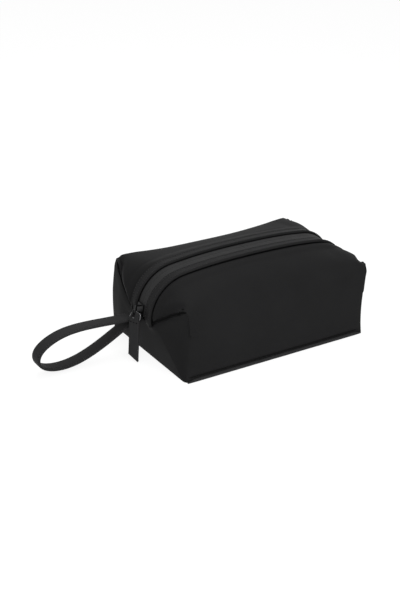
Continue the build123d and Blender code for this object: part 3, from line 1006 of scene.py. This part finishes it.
class KITBAG_OT_leather(bpy.types.Operator):
    """Builds the bag's leather: front, rear, ends, and the top that opens."""

    bl_idname = "kitbag.leather"
    bl_label = "Leather"

    def execute(self, context):
        sizes = settings()[1]
        shell = Shell()
        both = [MATERIALS["leather"], MATERIALS["lining"]]
        fold = shell.fold
        low_row = fold + 1 + int(np.searchsorted(shell.side_steps, (FOLD_TOP - FOLD_LOW) / FOLD_TOP))
        tuck_row = fold - 7
        for depth in (1, -1):
            word = "front" if depth > 0 else "rear"
            still, tuck, middle = [], [], []
            ends = {1: [], -1: []}
            for i, (part, side, d, r, c) in enumerate(shell.tags):
                if part != "top" or d != depth:
                    continue
                inside = face_x(shell, i) < MIDDLE
                if r >= low_row or (r >= fold and not inside):
                    still.append(i)
                if inside and r < low_row:
                    middle.append(i)
                if not inside and r < fold:
                    ends[side].append(i)
                if not inside and tuck_row <= r < fold:
                    tuck.append(i)
            body = shell.piece(word + "_leather", still, both, sizes.wall)
            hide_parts(word + "_panel")
            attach(body, "shell")
            under = shell.piece(
                word + "_fold_facing", tuck, both, 0.8 * MM, sunk=lambda p: np.full(len(p), sizes.wall + 0.2 * MM)
            )
            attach(under, "shell")
            top = shell.piece(word + "_top_leather", middle, both, sizes.wall)
            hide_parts(word + "_flap_panel")
            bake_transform(top)
            for side, faces in ends.items():
                name = quarter_name(side, depth)
                apron = shell.piece(name + "_top_leather", faces, both, sizes.wall)
                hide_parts(name + "_apron")
                bend_with_flap(apron)
        # Black tubes in the four seams: painted shadow of the slits.
        for side, depth in QUARTERS:
            cord = tube(quarter_name(side, depth) + "_seam_painted_shadow", shell.seam_rings(side, depth), MATERIALS["gap"])
            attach(cord, "shell")
        for side, word in ((1, "left"), (-1, "right")):
            chosen = [i for i, t in enumerate(shell.tags) if t[0] == "end" and t[1] == side]
            end_piece = shell.piece(word + "_end_leather", chosen, both, sizes.wall)
            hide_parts(word + "_end_panel")
            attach(end_piece, "shell")
        return {"FINISHED"}


class KITBAG_OT_base(bpy.types.Operator):
    """Builds the base leather, its board and the rolled welts along the foot."""

    bl_idname = "kitbag.base"
    bl_label = "Base and welts"

    def execute(self, context):
        low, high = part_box("base_panel")
        columns, rows = 60, 40
        verts, faces = [], []
        for r in range(rows + 1):
            for c in range(columns + 1):
                x = low.x + (high.x - low.x) * c / columns
                y = low.y + (high.y - low.y) * r / rows
                edge = min(x - low.x, high.x - x, y - low.y, high.y - y)
                lift = 0.7 * MM * (1 - smooth(edge / (4 * MM)))
                verts.append((x, y, 0.15 * MM + lift))
        for r in range(rows):
            for c in range(columns):
                a = r * (columns + 1) + c
                faces.append((a, a + columns + 1, a + columns + 2, a + 1))
        obj = new_object("base_leather", verts, faces, [MATERIALS["leather"]])
        thicken(obj, 1.2 * MM)
        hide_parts("base_panel")
        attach(obj, "shell")
        paint("base_board", "board")
        for word in ("front", "rear"):
            low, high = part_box(word + "_base_welt")
            radius = 1.9 * MM
            centre = (low + high) / 2
            rings = []
            for x in np.linspace(low.x + radius, high.x - radius, 90):
                past = min(x - low.x, high.x - x) / (14 * MM)
                fat = radius * (0.45 + 0.55 * float(smooth(past)))
                wander = 0.15 * MM * noise.noise(Vector((x * 60, centre.y * 30, 0)))
                ring = []
                for i in range(14):
                    turn = 2 * math.pi * i / 14
                    y = centre.y + fat * math.cos(turn) + wander
                    ring.append((x, y, low.z + fat + fat * math.sin(turn)))
                rings.append(ring)
            # The welt material is lightened leather: painted highlight.
            welt = tube(word + "_welt", np.array(rings), MATERIALS["welt"])
            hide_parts(word + "_base_welt")
            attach(welt, "shell")
        return {"FINISHED"}


class KITBAG_OT_lining(bpy.types.Operator):
    """Builds the cloth lining of the walls and the floor."""

    bl_idname = "kitbag.lining"
    bl_label = "Lining"

    def execute(self, context):
        low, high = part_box("base_lining")
        floor = high.z
        inside_x = high.x - 2.5 * MM
        inside_y = high.y - 2.5 * MM
        radius = 14 * MM
        outline = []
        for quarter in range(4):
            for i in range(10):
                turn = math.radians(90 * quarter + 90 * i / 9)
                sx, sy = (1, 1, -1, -1)[quarter], (1, -1, -1, 1)[quarter]
                cx = sx * (inside_x - radius) if quarter in (0, 3) else -(inside_x - radius)
                cy = inside_y - radius if quarter in (0, 1) else -(inside_y - radius)
                outline.append((cx + radius * math.cos(turn), cy + radius * math.sin(turn)))
        dense = []
        for i, (x, y) in enumerate(outline):
            nx, ny = outline[(i + 1) % len(outline)]
            steps = max(1, round(math.hypot(nx - x, ny - y) / (5 * MM)))
            for s in range(steps):
                dense.append((x + (nx - x) * s / steps, y + (ny - y) * s / steps))
        side_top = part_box("left_end_lining")[1].z
        wall_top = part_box("front_lining")[1].z - 12 * MM
        verts, faces = [], []
        levels = 26
        for level in range(levels + 1):
            for x, y in dense:
                to_end = smooth((abs(x) - 80 * MM) / (25 * MM))
                top = wall_top + (side_top - 8 * MM - wall_top) * float(to_end)
                t = level / levels
                z = floor + 0.3 * MM + (top - floor) * t
                ripple = 1.0 * MM * noise.noise(Vector((x * 45, y * 45, z * 25)))
                out = 1 + (ripple - 1.2 * MM * math.sin(math.pi * t)) / inside_x
                verts.append((x * out, y * out, z))
        count = len(dense)
        for level in range(levels):
            for i in range(count):
                j = (i + 1) % count
                a, b = level * count, (level + 1) * count
                faces.append((a + i, a + j, b + j, b + i))
        faces.append(tuple(range(count))[::-1])
        obj = new_object("lining_bag", verts, faces, [MATERIALS["lining"]])
        face_outwards(obj)
        thicken(obj, 0.7 * MM)
        names = ("base_lining", "front_lining", "rear_lining", "left_end_lining", "right_end_lining")
        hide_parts(*names)
        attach(obj, "shell")
        return {"FINISHED"}


def strip_section(depth):
    """Cross section of a strip: folded and proud along its front edge, and let in flush at the other."""
    width = STRIP_OUT - STRIP_IN
    high = STRIP_RADIUS - SKIN_RADIUS
    points = []
    steps = 40
    for i in range(steps + 1):
        s = (i / steps) ** 1.5
        roll = (1 - max(0.0, 1 - s * width / (1.1 * MM)) ** 2) ** 0.5
        fall = high * (1 - 0.72 * ease(s * 1.05))
        bead = 0.6 * MM * bell(s * width - 1.3 * MM, 0.9 * MM)
        rows = zip(STITCH_ROWS, STITCH_DEPTHS)
        sunk = sum(deep * bell(s * width - row, 0.5 * MM) for row, deep in rows)
        points.append((s * width, fall * (0.1 + 0.9 * roll) + bead * roll - sunk - 0.1 * MM))
    points += [(width * (1 - i / 6), -0.2 * MM) for i in range(7)]
    start = -STRIP_OUT if depth > 0 else STRIP_IN
    return [(start + y, h) for y, h in points]


STITCH_ROWS = (2.9 * MM, 11.6 * MM)
STITCH_DEPTHS = (0.3 * MM, 0.7 * MM)


def strip_height(run):
    """Height of the strip's face over the leather, at a distance from its front edge."""
    high = STRIP_RADIUS - SKIN_RADIUS
    width = STRIP_OUT - STRIP_IN
    return high * (1 - 0.72 * ease(run / width * 1.05)) - 0.28 * MM


class KITBAG_OT_strips(bpy.types.Operator):
    """Builds the folded strips that border the zip, with their stitches."""

    bl_idname = "kitbag.strips"
    bl_label = "Zip strips"

    def execute(self, context):
        sizes = settings()[1]
        tree = repeat_tree("stitches", MATERIALS["thread"])
        shares = np.linspace(0, 1, 150)
        for side, depth in QUARTERS:
            name = quarter_name(side, depth)
            rings = mirrored(along_zip(strip_section(depth), shares), side, 1)
            strip = tube(name + "_zip_strip", rings, MATERIALS["trim"])
            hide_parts(name + "_strip", flap_name(depth) + "_strip")
            bend_with_flap(strip)
            # On the rear strips, a black tube along the front edge: painted shadow of the gap beside it.
            if depth < 0:
                cut = [(STRIP_IN + (0.75 * u - 0.5) * MM, (0.1 + 0.5 * v) * MM) for u, v in circle(12)]
                rings = mirrored(along_zip(cut, np.linspace(0, 0.985, 120)), side, 1)
                line = tube(name + "_strip_edge_painted_shadow", rings, MATERIALS["gap"])
                bend_with_flap(line)
            lines = []
            start = -STRIP_OUT if depth > 0 else STRIP_IN
            for row in STITCH_ROWS:
                at = [(start + row, strip_height(row))]
                line = along_zip(at, np.linspace(0.004, 0.985, 120))[:, 0]
                lines.append(mirrored(line, side, 1))
            sewn = beads(
                name + "_strip_stitches",
                lines,
                tree,
                sizes.stitch_pitch,
                sizes.stitch_length,
                sizes.thread_width,
                sizes.thread_width,
                MATERIALS["thread"],
            )
            bend_with_flap(sewn)
        return {"FINISHED"}


class KITBAG_OT_zip(bpy.types.Operator):
    """Builds the zip's tape and coil."""

    bl_idname = "kitbag.zip"
    bl_label = "Zip"

    def execute(self, context):
        sizes = settings()[1]
        tree = repeat_tree("coil", MATERIALS["coil"])
        edge = 0.15 * MM
        hidden = 17 * MM
        steps = 44
        top, under = [], []
        for i in range(steps + 1):
            y = edge + (hidden - edge) * (i / steps) ** 1.15
            ridge = 0.1 * MM * bell(y - 2.4 * MM, 1.2 * MM)
            groove = 0.15 * MM * bell(y, 0.35 * MM)
            top.append((-y, ridge - groove - 0.1 * MM))
            under.append((-y, -0.75 * MM))
        section = top + under[::-1]
        groove = [(y, h - 1.9 * MM * bell(-y - STRIP_IN + 0.5 * MM, 0.75 * MM)) for y, h in top]
        rear_section = groove + [(y, h - 1.6 * MM) for y, h in under[::-1]]
        last = 1 - 5.5 * MM / ZIP_LENGTH
        for side, depth in QUARTERS:
            name = quarter_name(side, depth)
            cut = section if depth > 0 else rear_section
            rings = mirrored(along_zip(cut, np.linspace(0, last, 140)), side, depth)
            tape = tube(name + "_zip_tape", rings, MATERIALS["tape"])
            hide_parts(name + "_tape", flap_name(depth) + "_tape")
            bend_with_flap(tape)
            line = along_zip([(-1.7 * MM, -1.9 * MM)], np.linspace(0.002, last - 0.004, 140))[:, 0]
            coil = beads(
                name + "_zip_coil",
                [mirrored(line, side, depth)],
                tree,
                sizes.coil_pitch,
                1.0 * MM,
                2.9 * MM,
                2.0 * MM,
                MATERIALS["coil"],
            )
            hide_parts(name + "_coil", flap_name(depth) + "_coil")
            bend_with_flap(coil)
        for word in ("left", "right"):
            paint(word + "_zip_stop", "metal")
        return {"FINISHED"}


class KITBAG_OT_slider(bpy.types.Operator):
    """Colours the zip slider and its bridge."""

    bl_idname = "kitbag.slider"
    bl_label = "Slider"

    def execute(self, context):
        for node in ("slider_body", "slider_bridge"):
            paint(node, "slider")
        return {"FINISHED"}


class KITBAG_OT_pull(bpy.types.Operator):
    """Builds the pull ring and the two-layer leather tab with its stitches."""

    bl_idname = "kitbag.pull"
    bl_label = "Pull"

    def execute(self, context):
        low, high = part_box("pull_ring")
        wire = (high.x - low.x) / 2
        rounding = 1.6 * MM
        x = (low.x + high.x) / 2
        y0, y1 = low.y + wire, high.y - wire
        z0, z1 = low.z + wire, high.z - wire
        path, out = [], []
        corners = [(y1 - rounding, z1 - rounding, 0), (y0 + rounding, z1 - rounding, 90)]
        corners += [(y0 + rounding, z0 + rounding, 180), (y1 - rounding, z0 + rounding, 270)]
        for cy, cz, turn in corners:
            for i in range(9):
                a = math.radians(turn + 90 * i / 8)
                path.append((cy + rounding * math.cos(a), cz + rounding * math.sin(a)))
                out.append((math.cos(a), math.sin(a)))
        rings = []
        for (y, z), (oy, oz) in zip(path, out):
            ring = []
            for i in range(12):
                a = 2 * math.pi * i / 12
                ring.append((x + wire * math.sin(a), y + oy * wire * math.cos(a), z + oz * wire * math.cos(a)))
            rings.append(ring)
        ring = tube("pull_wire", self.hang(rings), MATERIALS["metal"], loop=True)
        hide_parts("pull_ring")
        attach(ring, "pull")
        self.tab()
        return {"FINISHED"}

    def hang(self, rings):
        """Turns the tab a little to the front and lets it hang away from the bag's end."""
        points = np.array(rings, float)
        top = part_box("pull_ring")[1].z
        down = np.clip((top - points[..., 2]) / (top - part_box("pull_tab_outer")[0].z), 0, 1)
        turn = math.radians(30) * smooth(down * 3.2 + 0.15)
        clear = smooth(down * 5)
        tab_low, tab_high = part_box("pull_tab_outer")
        x0, y0 = tab_high.x, (tab_low.y + tab_high.y) / 2
        x, y = points[..., 0] - x0, points[..., 1] - y0
        points[..., 0] = x0 + x * np.cos(turn) - y * np.sin(turn) - 2.5 * MM * clear - 4.0 * MM * down**1.2
        points[..., 1] = y0 + x * np.sin(turn) + y * np.cos(turn) + 1.0 * MM * clear - 6.0 * MM * down
        return points

    def tab(self):
        outer_low, outer_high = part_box("pull_tab_outer")
        bar_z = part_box("pull_ring")[0].z + 0.7 * MM
        cover_top = PIVOT.z + 1.2 * MM
        middle = outer_high.x
        y0, y1 = outer_low.y, outer_high.y
        slant = 7.0 * MM
        foot_low = 0.9 * MM
        for node, sign in (("pull_tab_outer", -1), ("pull_tab_inner", 1)):
            rings = []
            across = 33
            for i in range(across):
                s = -1 + 2 * i / (across - 1)
                y = (y0 + y1) / 2 + s * (y1 - y0) / 2
                roll = max(0.0, 1 - abs(s) ** 12) ** 0.5
                thick = 1.5 * MM * (0.45 + 0.55 * roll)
                foot = foot_low + slant * (s + 1) / 2
                within_slot = ease((2.6 * MM - abs(y - 0.5 * MM)) / (0.5 * MM))
                notch = (cover_top - outer_high.z + 2.2 * MM) * within_slot
                high = cover_top - notch if sign < 0 else bar_z - 0.9 * MM
                ring = []
                heights = np.linspace(foot, high, 60)
                for z in heights:
                    end = max(0.0, 1 - (1 - min(1.0, (z - foot) / (0.8 * MM))) ** 2) ** 0.5
                    end = min(end, max(0.0, 1 - (1 - min(1.0, (high - z) / (0.6 * MM))) ** 2) ** 0.5)
                    sewn = 0.35 * MM * bell(z - bar_z + 4 * MM, 0.9 * MM)
                    lift = 1.0 * MM * float(smooth(np.array((z - bar_z + 4 * MM) / (4 * MM))))
                    lift = lift if sign < 0 else 0.0
                    ring.append((middle + sign * (thick * (0.35 + 0.65 * end) + lift - sewn), y, z))
                for z in heights[::-1]:
                    lift = 1.0 * MM * float(smooth(np.array((z - bar_z + 4 * MM) / (4 * MM))))
                    lift = lift if sign < 0 else 0.0
                    ring.append((middle + sign * (0.06 * MM + lift), y, z))
                rings.append(ring)
            layer = tube(node + "_leather", self.hang(rings), MATERIALS["strap"])
            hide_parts(node)
            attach(layer, "pull")
        rings = []
        for s in np.linspace(-0.97, 0.97, 24):
            y, z = (y0 + y1) / 2 + s * (y1 - y0) / 2, foot_low + slant * (s + 1) / 2 + 0.35 * MM
            rings.append([(middle + 1.5 * MM * u, y, z + 0.75 * MM * v) for u, v in circle(12)])
        cut_edge = tube("pull_tab_edge", self.hang(rings), MATERIALS["gap"])
        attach(cut_edge, "pull")
        tree = repeat_tree("tab_stitches", MATERIALS["gap"])
        lines = []
        z = bar_z - 4 * MM
        for sign in (-1, 1):
            x = middle + sign * 1.2 * MM
            lines.append(self.hang([(x, y, z) for y in (y0 + 2.4 * MM, y0 + 6 * MM, y1 - 2.4 * MM)]))
        sewn = beads(
            "pull_tab_stitches", lines, tree, 2.9 * MM, 2.0 * MM, 1.2 * MM, 1.2 * MM, MATERIALS["gap"]
        )
        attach(sewn, "pull")


STRAP_ROUTE = [
    (-127, 42.0),
    (-134, 42.2),
    (-155, 43.2),
    (-185, 45.6),
    (-212, 45.2),
    (-233, 38.0),
    (-246.5, 27),
    (-245, 12),
    (-226, 4.6),
    (-202, 5.6),
    (-178, 14.0),
    (-155, 26.0),
    (-136, 37.0),
    (-127, 38.6),
]


def smooth_route(points, steps):
    """Evenly spaced points on a uniform B-spline that starts and ends on its first and last points."""
    points = [np.array(points[0])] * 2 + [np.array(p) for p in points] + [np.array(points[-1])] * 2
    fine = []
    for i in range(len(points) - 3):
        a, b, c, d = points[i : i + 4]
        for t in np.linspace(0, 1, 40, endpoint=False):
            weights = ((1 - t) ** 3, 3 * t**3 - 6 * t**2 + 4, -3 * t**3 + 3 * t**2 + 3 * t + 1, t**3)
            fine.append((weights[0] * a + weights[1] * b + weights[2] * c + weights[3] * d) / 6)
    fine = np.array(fine)
    run = run_along(fine)
    at = np.linspace(0, run[-1], steps)
    return np.column_stack([np.interp(at, run, fine[:, k]) for k in range(2)]), run[-1]


class KITBAG_OT_strap(bpy.types.Operator):
    """Builds the looped wrist strap from two layers of leather with a stitched edge on both sides."""

    bl_idname = "kitbag.strap"
    bl_label = "Wrist strap"

    def execute(self, context):
        sizes = settings()[1]
        low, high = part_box("strap_outer_layer")
        width = high.y - low.y + 1.4 * MM
        middle = (high.y + low.y) / 2
        layer = 1.5 * MM
        line, length = smooth_route([(x * MM, z * MM) for x, z in STRAP_ROUTE], 170)
        step = np.gradient(line, axis=0)
        step /= np.linalg.norm(step, axis=1)[:, None]
        out = np.column_stack([step[:, 1], -step[:, 0]])
        outward = out * np.sign(out @ np.array([0, 1]))[:1]
        for node, sign in (("strap_outer_layer", 1), ("strap_inner_layer", -1)):
            rings = []
            for (x, z), (ox, oz) in zip(line, outward):
                ring = []
                across = 44
                for i in range(across + 1):
                    s = -1 + 2 * i / across
                    roll = max(0.0, 1 - abs(s) ** 9) ** 0.5
                    from_edge = (1 - abs(s)) * width / 2
                    sunk = 0.6 * MM * bell(from_edge - 1.8 * MM, 0.6 * MM)
                    puff = 0.25 * MM * (1 - s * s)
                    h = layer * (0.4 + 0.6 * roll) - sunk + puff - 0.15 * MM
                    ring.append((x + sign * ox * h, middle + s * width / 2, z + sign * oz * h))
                for i in range(7):
                    s = 1 - 2 * i / 6
                    h = 0.05 * MM
                    ring.append((x + sign * ox * h, middle + s * width / 2 * 0.98, z + sign * oz * h))
                rings.append(ring)
            obj = tube(node + "_leather", np.array(rings), MATERIALS["strap"])
            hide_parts(node)
            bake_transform(obj)
        tree = repeat_tree("strap_stitches", MATERIALS["thread"])
        lines = []
        for sign in (1, -1):
            for edge in (-1, 1):
                y = middle + edge * (width / 2 - 1.8 * MM)
                h = sign * (layer - 0.3 * MM)
                lines.append([(x + ox * h, y, z + oz * h) for (x, z), (ox, oz) in zip(line, outward)])
        sewn = beads(
            "strap_stitches",
            lines,
            tree,
            sizes.stitch_pitch,
            sizes.stitch_length,
            1.5 * sizes.thread_width,
            1.5 * sizes.thread_width,
            MATERIALS["thread"],
        )
        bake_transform(sewn)
        paint("strap_root", "strap")
        return {"FINISHED"}


class KITBAG_OT_stage(bpy.types.Operator):
    """Makes the floor, the light and the camera."""

    bl_idname = "kitbag.stage"
    bl_label = "Stage"

    def execute(self, context):
        net = Net("floor")
        ray = net.node("ShaderNodeLightPath")
        seen = ray.out("Is Camera Ray") + ray.out("Is Glossy Ray") + ray.out("Is Transmission Ray")
        lit = net.node("ShaderNodeBsdfDiffuse", {}, {"Color": (0.8, 0.8, 0.8, 1)}).out(0)
        faint = net.node("ShaderNodeBsdfDiffuse", {}, {"Color": (0.24, 0.24, 0.24, 1)}).out(0)
        glow = net.node("ShaderNodeEmission", {}, {"Color": (1, 1, 1, 1), "Strength": 0.86}).out(0)
        bright = net.node("ShaderNodeAddShader", {}, {0: faint, 1: glow}).out(0)
        mixed = net.node("ShaderNodeMixShader", {}, {0: seen, 1: lit, 2: bright}).out(0)
        material = net.finish(mixed)
        size = 30.0
        square = [(-size, -size, 0), (size, -size, 0), (size, size, 0), (-size, size, 0)]
        floor = new_object("floor", square, [(0, 1, 2, 3)], [material])
        world = bpy.data.worlds.new("studio")
        context.scene.world = world
        world.use_nodes = True
        tree = world.node_tree
        tree.nodes.clear()
        rays = tree.nodes.new("ShaderNodeLightPath")
        camera_side = tree.nodes.new("ShaderNodeBackground")
        camera_side.inputs["Color"].default_value = (1, 1, 1, 1)
        light_side = tree.nodes.new("ShaderNodeBackground")
        light_side.inputs["Color"].default_value = (1, 1, 1, 1)
        light_side.inputs["Strength"].default_value = 0.4
        choose = tree.nodes.new("ShaderNodeMixShader")
        out = tree.nodes.new("ShaderNodeOutputWorld")
        seen = rays.outputs["Is Camera Ray"]
        for label in ("Is Glossy Ray", "Is Transmission Ray"):
            either = tree.nodes.new("ShaderNodeMath")
            either.operation = "MAXIMUM"
            tree.links.new(seen, either.inputs[0])
            tree.links.new(rays.outputs[label], either.inputs[1])
            seen = either.outputs[0]
        tree.links.new(seen, choose.inputs[0])
        tree.links.new(light_side.outputs[0], choose.inputs[1])
        tree.links.new(camera_side.outputs[0], choose.inputs[2])
        tree.links.new(choose.outputs[0], out.inputs[0])
        self.lamp("key", (-0.22, -0.78, 0.36), 1.0, 6.6)
        self.lamp("top", (0.1, 0.25, 1.4), 1.0, 7.0)
        self.camera()
        scene = context.scene
        scene.view_settings.view_transform = "Standard"
        return {"FINISHED"}

    def lamp(self, name, place, size, power):
        data = bpy.data.lights.new(name, "AREA")
        data.size = size
        data.energy = power
        obj = bpy.data.objects.new(name, data)
        obj.location = place
        aim = Vector((0, 0, 0.05)) - Vector(place)
        obj.rotation_euler = aim.to_track_quat("-Z", "Y").to_euler()
        bpy.context.scene.collection.objects.link(obj)

    def camera(self):
        azimuth, elevation, roll = (math.radians(a) for a in (-33.84, 26.39, 2.13))
        distance = 1.4221
        target = Vector((-0.0531, 0, 0.0494))
        side = math.cos(elevation)
        back = Vector((math.sin(azimuth) * side, -math.cos(azimuth) * side, math.sin(elevation)))
        right = Vector((0, 0, 1)).cross(back).normalized()
        up = back.cross(right)
        x = right * math.cos(roll) + up * math.sin(roll)
        y = up * math.cos(roll) - right * math.sin(roll)
        turn = Matrix((x, y, back)).transposed()
        data = bpy.data.cameras.new("camera")
        data.lens = 78.0
        data.sensor_width = 36.0
        obj = bpy.data.objects.new("camera", data)
        obj.matrix_world = Matrix.Translation(target + back * distance) @ turn.to_4x4()
        bpy.context.scene.collection.objects.link(obj)
        bpy.context.scene.camera = obj


class KITBAG_PT_panel(bpy.types.Panel):
    """Settings and pieces of the bag."""

    bl_label = "Kit bag"
    bl_idname = "KITBAG_PT_panel"
    bl_space_type = "VIEW_3D"
    bl_region_type = "UI"
    bl_category = "Kit bag"

    def draw(self, context):
        for group in settings():
            for name in group.bl_rna.properties.keys():
                if name not in ("rna_type", "name"):
                    self.layout.prop(group, name)
        for operator in OPERATORS:
            self.layout.operator(operator.bl_idname)


OPERATORS = (
    KITBAG_OT_leather,
    KITBAG_OT_base,
    KITBAG_OT_lining,
    KITBAG_OT_strips,
    KITBAG_OT_zip,
    KITBAG_OT_slider,
    KITBAG_OT_pull,
    KITBAG_OT_strap,
    KITBAG_OT_stage,
)
GROUPS = (KITBAG_PG_looks, KITBAG_PG_sizes)


def register():
    for kind in (*GROUPS, *OPERATORS, KITBAG_PT_panel):
        bpy.utils.register_class(kind)
    bpy.types.Scene.kitbag_looks = bpy.props.PointerProperty(type=KITBAG_PG_looks)
    bpy.types.Scene.kitbag_sizes = bpy.props.PointerProperty(type=KITBAG_PG_sizes)


def unregister():
    del bpy.types.Scene.kitbag_sizes
    del bpy.types.Scene.kitbag_looks
    for kind in reversed((*GROUPS, *OPERATORS, KITBAG_PT_panel)):
        bpy.utils.unregister_class(kind)


def main():
    register()
    make_materials(settings()[0])
    for operator in OPERATORS:
        group, name = operator.bl_idname.split(".")
        getattr(getattr(bpy.ops, group), name)()


if __name__ == "__main__":
    main()
